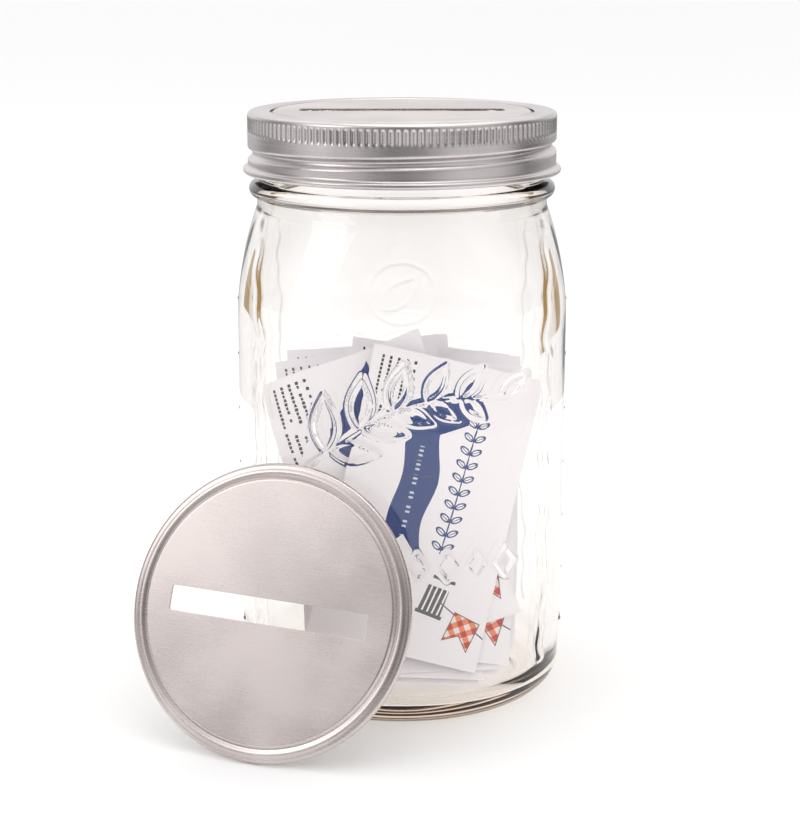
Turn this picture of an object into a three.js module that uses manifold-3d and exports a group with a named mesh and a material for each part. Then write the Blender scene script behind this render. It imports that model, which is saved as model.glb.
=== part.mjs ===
// Coin bank jar: a square-shouldered glass preserving jar with a screw band over a slotted
// disc lid, a second slotted disc leaning on the front of the jar, and cards dropped inside.
// Millimetres, +Z up. The origin is on the jar's axis, on the surface that the jar stands on.

import * as THREE from 'three';
import * as BufferGeometryUtils from 'three/addons/utils/BufferGeometryUtils.js';
import Module from 'manifold-3d';

const wasm = await Module();
wasm.setup();

// ---- jar ------------------------------------------------------------------------------
const jarHeight = 173.2;          // foot to sealing rim
const bodyWidth = 97.0;           // across two opposite flat panels
const bodyCornerRadius = 40.0;    // of the rounded-square body
const glassWall = 3.2;
const baseThickness = 5.5;
const heelRadius = 8.5;
const innerHeelTighter = 1.5;     // inner heel's radius, less than the outer's
const footRingRadius = 36.0;      // inner edge of the ring that touches the table
const footSlope = 3.0;            // width of the slope inside the foot ring
const pushUp = 1.2;               // height of the hollow under the base
const squareFrom = 1.0;           // the body is round at its foot ...
const squareFull = 36.0;          // ... and fully squared at this height
const shoulderStart = 116.0;      // where the shoulder leaves the flat panels
const shoulderPower = 2.1;        // how late the shoulder curves in
const neckHeight = 2.6;           // straight neck under the transfer bead
const beadHeight = 4.6;           // transfer bead under the screw band
const beadStandOut = 2.8;         // from the thread's root
const beadTopBelowRim = 18.4;
const beadEase = 0.3;             // glass runs this far past the bead before it turns in
const finishDiameter = 84.8;      // root of the glass thread
const rimInset = 1.4;             // sealing rim inside the thread's root
const neckStandOut = 0.5;         // neck outside the thread's root
const rimHeight = 2.0;
const rimRound = 1.0;
const rimWall = 2.9;

// ---- screw thread ---------------------------------------------------------------------
const threadPitch = 5.08;
const threadTurns = 1.1;
const threadStart = -225;         // degrees about the jar's axis
const threadStartAboveBand = 5.0; // groove's lower end above the band's bottom edge
const glassThreadHeight = 1.7;    // how far the glass ridge stands out
const glassThreadWidth = 1.9;
const bandGrooveWidth = 2.9;
const threadAxialGap = 0.4;       // between the glass ridge and the band's groove
const threadRadialGap = 1.0;      // groove to glass root
const threadCrestShare = 0.45;    // of a thread's width that is flat crest
const threadFlankShare = 0.35;    // of both threads' widths, from groove to ridge at rest
const threadRootDepth = 0.8;      // how far a thread's root sinks into its wall
const threadEndShare = 0.35;      // of a thread's width left where it fades out
const glassThreadFade = 0.07;     // of a turn, at each end
const bandThreadFade = 0.09;

// ---- slotted disc lid -----------------------------------------------------------------
const lidInset = 0.1;             // lid's edge inside the thread's root
const lidSheet = 0.5;
const panelRaise = 1.0;           // centre panel above the flange
const panelInset = 0.5;           // panel's edge inside the jar's mouth
const panelStep = 0.6;            // width of the sloping step
const lidEdgeDrop = 1.1;          // turned-down outer edge
const lidEdgeRound = 0.6;         // rounding where the flange turns down
const slotLength = 60.2;
const slotWidth = 7.2;
const slotCorner = 0.6;
const slotCutDepth = 10.0;

// ---- screw band -----------------------------------------------------------------------
const bandSheet = 0.45;
const bandHeight = 17.8;
const bandClearance = 0.9;        // band wall outside the glass thread's crest
const bandLipClearance = 0.6;     // opening in the top of the band, outside the lid's panel
const bandTopRound = 1.3;
const bandBeadRadius = 0.95;      // curled bottom edge
const bandCurlEase = 0.5;         // from the curl up to the straight wall

// ---- assembly fits --------------------------------------------------------------------
const restGap = 0.3;              // between pieces that touch
const lipOverLid = 0.55;          // band lip above the lid's flange

// ---- cards ----------------------------------------------------------------------------
const cardWidth = 51.0;
const cardLength = 89.0;
const cardThickness = 0.38;
const cardPlay = 1.2;             // cards to glass
const lowCards = 4;               // fallen cards, sloping up to the back
const lowCardPitch = 0.75;
const lowCardFront = 4.0;         // lowest card's edge behind the inner heel
const lowCardLift = 1.6;          // lowest card's corner above the glass
const lowCardHeadroom = 0.7;      // standing cards above the fallen ones, in pitches
const lowCardRolls = [4, -4, 2, -3];
const standingCards = 8;          // cards on edge, fanned back from the front
const standingPitch = 0.70;       // from one card's face to the next one's
const standingLeanShare = 0.315;  // front card's lean, of the angle over the fallen cards
const standingFanShare = 0.045;   // extra lean of each next card, of that angle
const standingRollShares = [    // of the widest roll that the room gives each card
  0.7411, -0.9926, 0.1862, 0.2607, -0.3721, 0.1202, 0.2774, -0.2006,
];
const rollHalvings = 40;          // steps to find that roll
const standingSides = [0.8, 0.1, 0.95, 0.5, 0.25, 0.9, 0.6, 0.2];

// ---- loose lid ------------------------------------------------------------------------
const looseLidLean = 21.3;        // back from upright
const looseLidTurn = 20.3;        // of its face, towards the left
const looseLidRoll = -1.5;        // of its slot, in its own plane
const looseLidAcross = -37.4;     // its centre from the jar's axis

const segments = 48;

const degrees = Math.PI / 180;
const bodyHalf = bodyWidth / 2;
const innerHalf = bodyHalf - glassWall;
const finishRadius = finishDiameter / 2;
const rimOuterRadius = finishRadius - rimInset;
const mouthRadius = rimOuterRadius - rimWall;
const neckRadius = finishRadius + neckStandOut;
const beadRadius = finishRadius + beadStandOut;
const lidRadius = finishRadius - lidInset;
const panelRadius = mouthRadius - panelInset;
const beadTop = jarHeight - beadTopBelowRim;
const beadBottom = beadTop - beadHeight;
const beadCentre = (beadTop + beadBottom) / 2;
const threadCrest = finishRadius + glassThreadHeight;
const bandInner = threadCrest + bandClearance;
const bandOuter = bandInner + bandSheet;
const bandLipRadius = panelRadius + panelStep + bandLipClearance;
const grooveInner = finishRadius + threadRadialGap;
const lidSeat = jarHeight + restGap;
const flangeTop = lidSeat + lidSheet;
const bandTop = flangeTop + lipOverLid + bandSheet;
const bandBottom = bandTop - bandHeight;

// ---- materials ------------------------------------------------------------------------
const glass = () => new THREE.MeshStandardMaterial({
  color: 0xf2f6f5, roughness: 0.03, metalness: 0, transparent: true, opacity: 0.35,
});
const brushedSteel = () => new THREE.MeshStandardMaterial({
  color: 0xc4c0bc, roughness: 0.34, metalness: 1,
});
const card = () => new THREE.MeshStandardMaterial({
  color: 0xe9e6ee, roughness: 0.75, metalness: 0,
});

// ---- solids ---------------------------------------------------------------------------
function toSolid(geometry) {
  const bare = geometry.clone();
  bare.deleteAttribute('normal');
  bare.deleteAttribute('uv');
  const merged = BufferGeometryUtils.mergeVertices(bare, 1e-5);
  return new wasm.Manifold(new wasm.Mesh({
    numProp: 3,
    vertProperties: new Float32Array(merged.attributes.position.array),
    triVerts: new Uint32Array(merged.index.array),
  }));
}

function toGeometry(solid) {
  const mesh = solid.getMesh();
  const geometry = new THREE.BufferGeometry();
  geometry.setAttribute('position', new THREE.BufferAttribute(mesh.vertProperties, 3));
  geometry.setIndex(new THREE.BufferAttribute(mesh.triVerts, 1));
  return geometry;
}

// A solid of revolution about +Z from [radius, height] points, listed up the outside.
function turned(profile) {
  const points = profile.map(([radius, height]) => new THREE.Vector2(radius, height));
  const geometry = new THREE.LatheGeometry(points, segments);
  geometry.rotateX(Math.PI / 2);
  return geometry;
}

function arc(centreRadius, centreHeight, radius, from, to, steps) {
  const points = [];
  for (let step = 0; step <= steps; step += 1) {
    const angle = (from + (to - from) * step / steps) * degrees;
    points.push([
      centreRadius + radius * Math.cos(angle),
      centreHeight + radius * Math.sin(angle),
    ]);
  }
  return points;
}

function smooth(value) {
  const clamped = Math.min(Math.max(value, 0), 1);
  return clamped * clamped * (3 - 2 * clamped);
}

// Distance from the centre to a rounded square of half width 1, in a given direction.
function squareFactor(angle) {
  const corner = bodyCornerRadius / bodyHalf;
  const across = Math.max(Math.abs(Math.cos(angle)), Math.abs(Math.sin(angle)));
  const along = Math.min(Math.abs(Math.cos(angle)), Math.abs(Math.sin(angle)));
  const straight = 1 - corner;
  if (along / across <= straight) return 1 / across;
  const sum = across + along;
  return straight * sum + Math.sqrt(straight ** 2 * sum ** 2 - 2 * straight ** 2 + corner ** 2);
}

// How square the jar is at a height: round at the foot and at the bead, square between.
function squareness(height) {
  const rising = smooth((height - squareFrom) / (squareFull - squareFrom));
  const falling = smooth((beadBottom - height) / (beadBottom - shoulderStart));
  return Math.min(rising, falling);
}

function squareUp(geometry) {
  const place = geometry.attributes.position;
  for (let index = 0; index < place.count; index += 1) {
    const x = place.getX(index);
    const y = place.getY(index);
    const grow = 1 + squareness(place.getZ(index)) * (squareFactor(Math.atan2(y, x)) - 1);
    place.setXY(index, x * grow, y * grow);
  }
  return geometry;
}

// A right-hand helical rib: its section is [radius, height] points, and it rises from
// startAngle, where it stands at startHeight. Its last `taper` of a turn at each end
// sinks towards hiddenRadius.
function helicalRib(section, startAngle, startHeight, turns, hiddenRadius, taper) {
  const steps = Math.round(turns * segments);
  const vertices = [];
  const faces = [];
  for (let step = 0; step <= steps; step += 1) {
    const climbed = turns * step / steps;
    const angle = startAngle + climbed * 2 * Math.PI;
    const show = smooth(Math.min(climbed, turns - climbed) / taper);
    for (const [radius, height] of section) {
      const reach = hiddenRadius + (radius - hiddenRadius) * show;
      const spread = threadEndShare + (1 - threadEndShare) * show;
      vertices.push(
        reach * Math.cos(angle),
        reach * Math.sin(angle),
        startHeight + threadPitch * climbed + height * spread,
      );
    }
  }
  const count = section.length;
  for (let step = 0; step < steps; step += 1) {
    for (let corner = 0; corner < count; corner += 1) {
      const here = step * count + corner;
      const next = step * count + (corner + 1) % count;
      faces.push(here, here + count, next, next, here + count, next + count);
    }
  }
  const last = steps * count;
  for (let corner = 1; corner < count - 1; corner += 1) {
    faces.push(0, corner, corner + 1);
    faces.push(last, last + corner + 1, last + corner);
  }
  const geometry = new THREE.BufferGeometry();
  geometry.setAttribute('position', new THREE.Float32BufferAttribute(vertices, 3));
  geometry.setIndex(faces);
  return geometry;
}

// ---- glass jar ------------------------------------------------------------------------
const grooveStart = threadStart * degrees;
const grooveStartHeight = bandBottom + threadStartAboveBand;
const flankOffset = threadFlankShare * (bandGrooveWidth + glassThreadWidth);
const glassThreadOffset = flankOffset + threadAxialGap;

function trapezoid(rootRadius, crestRadius, width) {
  const crest = width * threadCrestShare;
  const section = [
    [rootRadius, -width / 2],
    [crestRadius, -crest / 2],
    [crestRadius, crest / 2],
    [rootRadius, width / 2],
  ];
  return crestRadius > rootRadius ? section : section.reverse();
}

// Points up a flat wall, closer together where the body turns from round to square.
function straightWall(half, from) {
  const rise = (squareFull - from) / 3;
  const heights = [from + rise, from + 2 * rise, squareFull, (squareFull + shoulderStart) / 2];
  return [...heights, shoulderStart].map((height) => [half, height]);
}

function makeJar() {
  const innerHeel = heelRadius - innerHeelTighter;
  const innerFloor = baseThickness;
  const shoulderTop = beadBottom - neckHeight;
  const shoulderSteps = 6;
  const shoulder = (half, neck) => {
    const points = [];
    for (let step = 1; step <= shoulderSteps; step += 1) {
      const along = step / shoulderSteps;
      points.push([
        half + (neck - half) * along ** shoulderPower,
        shoulderStart + (shoulderTop - shoulderStart) * along,
      ]);
    }
    return points;
  };
  const outside = [
    [0, pushUp],
    [footRingRadius - footSlope, pushUp],
    [footRingRadius, 0],
    ...arc(bodyHalf - heelRadius, heelRadius, heelRadius, -90, 0, 5),
    ...straightWall(bodyHalf, heelRadius),
    ...shoulder(bodyHalf, neckRadius),
    [neckRadius, beadBottom - beadEase],
    ...arc(beadRadius - beadHeight / 2, beadCentre, beadHeight / 2, -78, 90, 5),
    [finishRadius, beadTop + beadEase],
    [finishRadius, jarHeight - rimHeight],
    ...arc(rimOuterRadius - rimRound, jarHeight - rimRound, rimRound, 0, 90, 3),
  ];
  const inside = [
    ...arc(mouthRadius + rimRound, jarHeight - rimRound, rimRound, 90, 180, 3),
    [mouthRadius, beadTop],
    ...shoulder(innerHalf, mouthRadius).reverse(),
    ...straightWall(innerHalf, innerFloor + innerHeel).reverse(),
    ...arc(innerHalf - innerHeel, innerFloor + innerHeel, innerHeel, 0, -90, 4),
    [0, innerFloor],
  ];
  const body = squareUp(turned([...outside, ...inside]));
  const root = finishRadius - threadRootDepth;
  const section = trapezoid(root, threadCrest, glassThreadWidth);
  const start = grooveStartHeight + glassThreadOffset;
  const ridge = helicalRib(section, grooveStart, start, threadTurns, root, glassThreadFade);
  return toGeometry(toSolid(body).add(toSolid(ridge)));
}

// ---- screw band -----------------------------------------------------------------------
function makeBand() {
  const round = bandTopRound;
  const bead = bandBeadRadius;
  const bottom = bandBottom + bead;
  const wall = turned([
    [bandLipRadius, bandTop - bandSheet],
    [bandInner - round + bandSheet, bandTop - bandSheet],
    ...arc(bandOuter - round, bandTop - round, round - bandSheet, 90, 0, 3).slice(1),
    [bandInner, bottom + bead],
    ...arc(bandInner + bead, bottom, bead, 135, 360 + 90, 7),
    [bandOuter, bottom + bead + bandCurlEase],
    ...arc(bandOuter - round, bandTop - round, round, 0, 90, 4),
    [bandLipRadius, bandTop],
    [bandLipRadius, bandTop - bandSheet],
  ]);
  const inWall = bandInner + bandSheet / 2;
  const outOfWall = bandOuter + threadRootDepth;
  const inner = trapezoid(inWall, grooveInner, bandGrooveWidth);
  const outer = trapezoid(outOfWall, grooveInner + bandSheet, bandGrooveWidth);
  const place = [grooveStart, grooveStartHeight, threadTurns];
  const pressedIn = helicalRib(inner, ...place, inWall, bandThreadFade);
  const pressedOut = helicalRib(outer, ...place, outOfWall, bandThreadFade);
  return toGeometry(toSolid(wall).add(toSolid(pressedIn)).subtract(toSolid(pressedOut)));
}

// ---- slotted disc lid, with the underside of its flange at height 0 -------------------
function makeLid() {
  const flange = lidSheet;
  const edge = lidEdgeRound;
  const disc = turned([
    [0, panelRaise],
    [panelRadius - lidSheet, panelRaise],
    [panelRadius + panelStep - lidSheet, 0],
    [lidRadius - edge, 0],
    [lidRadius - lidSheet, flange - edge - lidSheet / 4],
    [lidRadius - lidSheet, -lidEdgeDrop],
    [lidRadius, -lidEdgeDrop],
    [lidRadius, flange - edge],
    ...arc(lidRadius - edge, flange - edge, edge, 30, 90, 2),
    [panelRadius + panelStep, flange],
    [panelRadius, panelRaise + flange],
    [0, panelRaise + flange],
  ]);
  const length = slotLength / 2 - slotCorner;
  const width = slotWidth / 2 - slotCorner;
  const outline = new THREE.Shape();
  outline.absarc(length, width, slotCorner, 0, Math.PI / 2);
  outline.absarc(-length, width, slotCorner, Math.PI / 2, Math.PI);
  outline.absarc(-length, -width, slotCorner, Math.PI, Math.PI * 1.5);
  outline.absarc(length, -width, slotCorner, Math.PI * 1.5, Math.PI * 2);
  const cutter = new THREE.ExtrudeGeometry(outline, {
    depth: slotCutDepth, bevelEnabled: false, curveSegments: 3,
  });
  cutter.translate(0, 0, -slotCutDepth / 2);
  return toGeometry(toSolid(disc).subtract(toSolid(cutter)));
}

// ---- cards ----------------------------------------------------------------------------
function makeCard() {
  return new THREE.BoxGeometry(cardWidth, cardThickness, cardLength);
}

// A card's four corners in its own plane, once it is rolled: across, and up from its lowest.
function rolledCorners(roll) {
  const turn = roll * degrees;
  const corners = [];
  for (const [side, end] of [[-1, -1], [1, -1], [1, 1], [-1, 1]]) {
    const across = side * cardWidth / 2;
    const along = end * cardLength / 2;
    corners.push([
      across * Math.cos(turn) + along * Math.sin(turn),
      along * Math.cos(turn) - across * Math.sin(turn),
    ]);
  }
  const lowest = Math.min(...corners.map((corner) => corner[1]));
  return corners.map(([across, along]) => [across, along - lowest]);
}

function cardReach(roll) {
  return Math.max(...rolledCorners(roll).map((corner) => corner[1]));
}

// How far a leaning, rolled card can move left and right inside a round room.
function sideways(frontY, lean, roll, room) {
  let least = -Infinity;
  let most = Infinity;
  for (const [across, along] of rolledCorners(roll)) {
    const depth = frontY + along * Math.sin(lean * degrees);
    const chord = Math.sqrt(Math.max(room ** 2 - depth ** 2, 0));
    least = Math.max(least, -chord - across);
    most = Math.min(most, chord - across);
  }
  return [least, most];
}

// The roll, up to a quarter turn, at which a leaning card just fits across the room.
function widestRoll(frontY, lean, room) {
  let fits = 0;
  let jams = 90;
  for (let halving = 0; halving < rollHalvings; halving += 1) {
    const roll = (fits + jams) / 2;
    const [least, most] = sideways(frontY, lean, roll, room);
    if (least <= most) fits = roll;
    else jams = roll;
  }
  return fits;
}

// Places a card whose lowest corner is at (frontY, bottomZ), leaning back from upright.
function placeCard(mesh, across, frontY, bottomZ, lean, roll) {
  const reach = cardReach(roll) / 2;
  mesh.position.set(
    across,
    frontY + reach * Math.sin(lean * degrees),
    bottomZ + reach * Math.cos(lean * degrees),
  );
  mesh.rotation.set(-lean * degrees, roll * degrees, 0, 'XYZ');
  return mesh;
}

function namedMesh(name, geometry, material) {
  const mesh = new THREE.Mesh(geometry, material);
  mesh.name = name;
  return mesh;
}

const group = new THREE.Group();
group.add(namedMesh('glass_jar', makeJar(), glass()));
group.add(namedMesh('screw_band', makeBand(), brushedSteel()));

const lid = namedMesh('slotted_lid', makeLid(), brushedSteel());
lid.position.z = lidSeat;
group.add(lid);

// Fallen cards lie from the front of the floor to the back wall.
const room = innerHalf - cardPlay;
const steepestRoll = Math.max(...lowCardRolls.map(Math.abs));
const lowFront = -(innerHalf - heelRadius - lowCardFront);
const lowBottom = baseThickness + lowCardLift;
const lowHalfWidth = Math.max(...rolledCorners(steepestRoll).map((corner) => corner[0]));
const lowBack = Math.sqrt(room ** 2 - lowHalfWidth ** 2);
const lowLength = cardReach(steepestRoll) + lowCards * lowCardPitch;
// A card longer than the floor leans on the back wall; a shorter one lies flat.
const lowCosine = Math.min((lowBack - lowFront) / lowLength, 1);
const lowCardSlope = Math.acos(lowCosine) / degrees;
const lowCardRise = lowCardPitch / Math.cos(lowCardSlope * degrees);
for (let index = 0; index < lowCards; index += 1) {
  const mesh = namedMesh(`fallen_card_${index + 1}`, makeCard(), card());
  const bottomZ = lowBottom + (index + 0.5) * lowCardRise;
  const roll = lowCardRolls[index];
  group.add(placeCard(mesh, 0, lowFront, bottomZ, 90 - lowCardSlope, roll));
}

// Standing cards rest on the fallen ones, each leaning a little further back.
const lowTop = lowBottom + (lowCards + lowCardHeadroom) * lowCardRise;
const angleOverFallen = 90 - lowCardSlope;
let frontY = lowFront;
for (let index = 0; index < standingCards; index += 1) {
  const lean = (standingLeanShare + index * standingFanShare) * angleOverFallen;
  const bottomZ = lowTop + (frontY - lowFront) * Math.tan(lowCardSlope * degrees);
  const roll = standingRollShares[index] * widestRoll(frontY, lean, room);
  const [least, most] = sideways(frontY, lean, roll, room);
  const across = least + (most - least) * standingSides[index];
  const mesh = namedMesh(`standing_card_${index + 1}`, makeCard(), card());
  group.add(placeCard(mesh, across, frontY, bottomZ, lean, roll));
  const closing = Math.tan(lowCardSlope * degrees) * Math.sin(lean * degrees);
  frontY += standingPitch / (Math.cos(lean * degrees) - closing);
}

// ---- the loose lid, leaning back on the jar's front ------------------------------------
// The front of the body at a distance across from the jar's axis.
function bodyFront(across) {
  const straight = bodyHalf - bodyCornerRadius;
  const past = Math.max(Math.abs(across) - straight, 0);
  if (past >= bodyCornerRadius) return Infinity;
  return -straight - Math.sqrt(bodyCornerRadius ** 2 - past ** 2);
}

const looseLid = namedMesh('loose_slotted_lid', makeLid(), brushedSteel());
looseLid.setRotationFromMatrix(new THREE.Matrix4()
  .makeRotationZ(-looseLidTurn * degrees)
  .multiply(new THREE.Matrix4().makeRotationX((90 - looseLidLean) * degrees))
  .multiply(new THREE.Matrix4().makeRotationZ(looseLidRoll * degrees)));
let looseLidFront = Infinity;
let looseLidDrop = 0;
const edgePoint = new THREE.Vector3();
for (let step = 0; step < segments * 4; step += 1) {
  const angle = step / (segments * 2) * Math.PI;
  edgePoint.set(lidRadius * Math.cos(angle), lidRadius * Math.sin(angle), -lidEdgeDrop);
  edgePoint.applyEuler(looseLid.rotation);
  const touching = bodyFront(looseLidAcross + edgePoint.x) - restGap - edgePoint.y;
  looseLidFront = Math.min(looseLidFront, touching);
  looseLidDrop = Math.min(looseLidDrop, edgePoint.z);
}
looseLid.position.set(looseLidAcross, looseLidFront, -looseLidDrop);
group.add(looseLid);

export default group;
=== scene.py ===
"""Coin bank jar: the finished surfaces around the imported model.

A glass preserving jar with a rolled steel band over a slotted disc lid, a second slotted
lid leaning on it, and printed cards inside. Metres, +Z up, the same frame as the model.
"""

import math

import bpy
import numpy as np
from bpy.props import FloatProperty, FloatVectorProperty, IntProperty, PointerProperty
from mathutils import Matrix, Vector


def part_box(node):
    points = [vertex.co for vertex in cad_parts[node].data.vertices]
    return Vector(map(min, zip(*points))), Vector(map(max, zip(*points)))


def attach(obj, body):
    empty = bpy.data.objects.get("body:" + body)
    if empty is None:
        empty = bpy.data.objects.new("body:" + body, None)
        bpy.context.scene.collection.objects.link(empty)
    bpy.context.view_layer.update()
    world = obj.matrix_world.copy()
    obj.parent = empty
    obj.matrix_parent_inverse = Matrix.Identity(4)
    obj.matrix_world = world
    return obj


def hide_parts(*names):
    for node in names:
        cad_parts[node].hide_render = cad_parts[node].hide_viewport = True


bl_info = {
    "name": "Coin bank jar",
    "version": (1, 0, 0),
    "blender": (4, 5, 0),
    "location": "View3D > Sidebar > Coin bank",
    "description": "Builds a glass jar coin bank with slotted steel lids and cards",
    "category": "Add Mesh",
}

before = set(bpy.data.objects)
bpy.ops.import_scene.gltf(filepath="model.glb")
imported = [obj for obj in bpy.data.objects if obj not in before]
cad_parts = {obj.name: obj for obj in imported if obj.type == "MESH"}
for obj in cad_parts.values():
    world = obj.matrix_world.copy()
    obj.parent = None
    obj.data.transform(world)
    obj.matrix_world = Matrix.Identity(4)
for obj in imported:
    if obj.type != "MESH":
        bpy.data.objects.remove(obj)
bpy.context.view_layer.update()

MM = 0.001
DEGREE = math.pi / 180
TURN = 2 * math.pi

JAR_LOW, JAR_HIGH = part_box("glass_jar")
BAND_LOW, BAND_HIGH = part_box("screw_band")
LID_LOW, LID_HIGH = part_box("slotted_lid")
LOOSE_LOW, LOOSE_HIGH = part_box("loose_slotted_lid")
CARD_NODES = sorted(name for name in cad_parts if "card" in name)

# The screw thread, as the model has it.
THREAD_START = -225 * DEGREE
THREAD_ABOVE_BAND = 5.0 * MM        # the groove's lower end above the band's bottom edge
RIDGE_ABOVE_GROOVE = 2.1 * MM       # the glass thread above the middle of the groove

# The jar's section, where it isn't a size that a user sets.
FOOT_SLOPE = 3.0 * MM
INNER_HEEL_TIGHTER = 1.5 * MM
NECK_HEIGHT = 2.6 * MM
RIM_INSET = 1.4 * MM
RIM_ROUND = 1.0 * MM
RIM_HEIGHT = 2.0 * MM
SHOULDER_POWER = 2.1                # how late the shoulder curves in
WAVE_DEPTH = 0.16 * MM              # unevenness of the glass's inner face

# The moulded ornament, in millimetres.
SEAM_ACROSS = 41.0
TOP_TICK = 119.5
TICK_HEIGHTS = [18.9 + 16.8 * step for step in range(6)]
FACING_OUT = 0.3                    # least outward share of a normal that counts as outside

# The knurl, measured down from the band's top.
KNURL_TOP = 1.5 * MM
KNURL_BOTTOM = 5.7 * MM
KNURL_FADE = 0.5 * MM
COLUMNS_PER_RIB = 8

LID_SHEET = 0.5 * MM
LID_EDGE_ROUND = 0.6 * MM
LID_COLUMNS = 192
SLOT_CORNER = 0.6 * MM
LID_PLAN_SIZE = 0.1                 # metres of lid across one unit of its UV layer
LOOSE_TURN, LOOSE_LEAN, LOOSE_ROLL = -20.3, 68.7, -1.5

GLASS_TINT, GLASS_DENSITY = (0.91, 0.77, 0.66), 26.0
WHITE = (1.0, 1.0, 1.0)
CREASE_BLUE = (0.03, 0.045, 0.14)
PALE_BLUE = (0.62, 0.66, 0.78)
SKETCH_GREY = (0.085, 0.08, 0.09)
STRING_GREY = (0.10, 0.10, 0.11)
CHECK_WHITE = (0.86, 0.82, 0.80)
FLAG_RIM = (0.16, 0.05, 0.05)
CHECK_SIZE = 3.3                    # of the bunting, in millimetres
LEAF_PITCH = 4.2                    # of the printed garland, in millimetres

FLOOR_SIZE = 60.0
CAMERA_PLACE = (-0.0006, -0.580, 0.2266)
CAMERA_DOWN = 13.94                 # degrees below level
CAMERA_LENS, CAMERA_FILM = 85.0, 36.0
WORLD_STRENGTH = 1.1
FRONT_THROUGH_GLASS = (0.40, 0.29, 0.16)
EDGE_BROWN = (0.42, 0.27, 0.10)
EDGE_CARDS = (                      # size and place of the upright and the flat card
    ((0.001, 0.5, 0.22), (0.5, 0.42, 0.11)),
    ((0.4, 0.5, 0.001), (0.70, 0.42, 0.002)),
)


# ---- sizes and colours ----------------------------------------------------------------


def length(name, description, millimetres):
    """A length that a user can change, given here in millimetres."""
    return FloatProperty(
        name=name, description=description, default=millimetres * MM, unit="LENGTH", precision=5
    )


def colour(name, description, red, green, blue):
    """A surface colour that a user can change."""
    return FloatVectorProperty(
        name=name, description=description, default=(red, green, blue), subtype="COLOR",
        min=0.0, max=1.0,
    )


class JarSizes(bpy.types.PropertyGroup):
    """Sizes of the glass jar"""

    width: FloatProperty(
        name="Width", description="Across two opposite flat panels", unit="LENGTH",
        default=JAR_HIGH.x - JAR_LOW.x,
    )
    height: FloatProperty(
        name="Height", description="Foot to sealing rim", unit="LENGTH", default=JAR_HIGH.z
    )
    corner: length("Corner radius", "Of the rounded-square body", 40.0)
    wall: length("Wall", "Thickness of the glass", 3.2)
    base: length("Base", "Thickness of the glass under the room", 5.5)
    heel: length("Heel radius", "Rounding between the wall and the foot", 8.5)
    foot: length("Foot", "Inner radius of the ring that stands on the table", 36.0)
    push_up: length("Push-up", "Height of the hollow under the base", 1.2)
    square_height: length("Squared by", "Height where the body is fully squared", 36.0)
    shoulder: length("Shoulder", "Height where the shoulder leaves the panels", 116.0)
    neck: length("Neck", "Radius under the transfer bead", 42.9)
    bead: length("Transfer bead", "Radius of the bead under the band", 45.2)
    bead_height: length("Bead height", "Height of the transfer bead", 4.6)
    bead_below_rim: length("Bead below rim", "Top of the bead below the rim", 18.4)
    finish: length("Finish", "Radius at the root of the glass thread", 42.4)
    thread_height: length("Thread height", "How far the glass thread stands out", 1.7)
    mouth: length("Mouth", "Radius of the opening", 38.1)
    relief: length("Relief", "Height of the moulded ornament", 0.8)
    columns: IntProperty(name="Columns", description="Faces around the jar", default=256, min=64)


class SteelSizes(bpy.types.PropertyGroup):
    """Sizes and colours of the screw band and the slotted lids"""

    sheet: length("Sheet", "Thickness of the pressed steel", 0.45)
    band_wall: length("Band wall", "Outer radius of the band's wall", 45.45)
    band_curl: length("Curl", "Radius of the curled bottom edge", 0.95)
    band_round: length("Top edge", "Radius of the band's top edge", 1.3)
    lip: length("Lip", "Radius of the opening in the band's top", 38.8)
    ribs: IntProperty(name="Ribs", description="Knurled ribs around the band", default=136)
    rib_depth: length("Rib depth", "Depth of the knurl", 0.42)
    groove_depth: length("Groove depth", "Depth of the rolled thread", 1.6)
    groove_width: length("Groove width", "Width of the rolled thread", 3.0)
    pitch: length("Pitch", "Rise of the thread in one turn", 5.08)
    slot_length: length("Slot length", "Length of the coin slot", 60.2)
    slot_width: length("Slot width", "Width of the coin slot", 7.2)
    panel: length("Panel", "Radius of the lid's raised panel", 37.6)
    panel_raise: length("Panel raise", "Height of the panel over the flange", 1.0)
    step: length("Step", "Width of the slope around the panel", 0.6)
    edge_drop: length("Edge drop", "How far the lid's edge turns down", 1.1)
    flange_swell: length("Flange swell", "Rounding of the lid's flange", 0.34)
    lid_tint: colour("Lid steel", "Colour of the lids' satin steel", 0.64, 0.572, 0.555)
    band_tint: colour("Band steel", "Colour of the band's steel", 0.645, 0.596, 0.598)


class CardSizes(bpy.types.PropertyGroup):
    """Sizes and colours of the cards"""

    width: length("Width", "Short side of a card", 51.0)
    length: length("Length", "Long side of a card", 89.0)
    thickness: length("Thickness", "Thickness of the card", 0.36)
    bow: length("Bow", "How far the top of a card curls back", 1.1)
    paper: colour("Paper", "Colour of the card", 0.95, 0.922, 0.972)
    navy: colour("Navy", "Colour of the ribbon and garland", 0.006, 0.042, 0.215)
    red: colour("Red", "Dark check of the bunting", 0.55, 0.02, 0.018)
    coral: colour("Coral", "Light check of the bunting", 0.85, 0.24, 0.10)
    grey: colour("Grey", "Colour of the small print", 0.022, 0.02, 0.024)


# ---- modelling helpers ----------------------------------------------------------------


def begin():
    """Leaves edit mode with nothing selected, ready for the next piece."""
    if bpy.context.object and bpy.context.object.mode != "OBJECT":
        bpy.ops.object.mode_set(mode="OBJECT")
    bpy.ops.object.select_all(action="DESELECT")


def pick(piece):
    """Selects one piece and makes it active."""
    begin()
    piece.select_set(True)
    bpy.context.view_layer.objects.active = piece


def arc(radius_at, height_at, radius, start, end, steps):
    """Points on an arc in a profile, from one angle in degrees to another."""
    angles = [start + (end - start) * step / steps for step in range(steps + 1)]
    return [
        (radius_at + radius * math.cos(a * DEGREE), height_at + radius * math.sin(a * DEGREE))
        for a in angles
    ]


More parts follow.
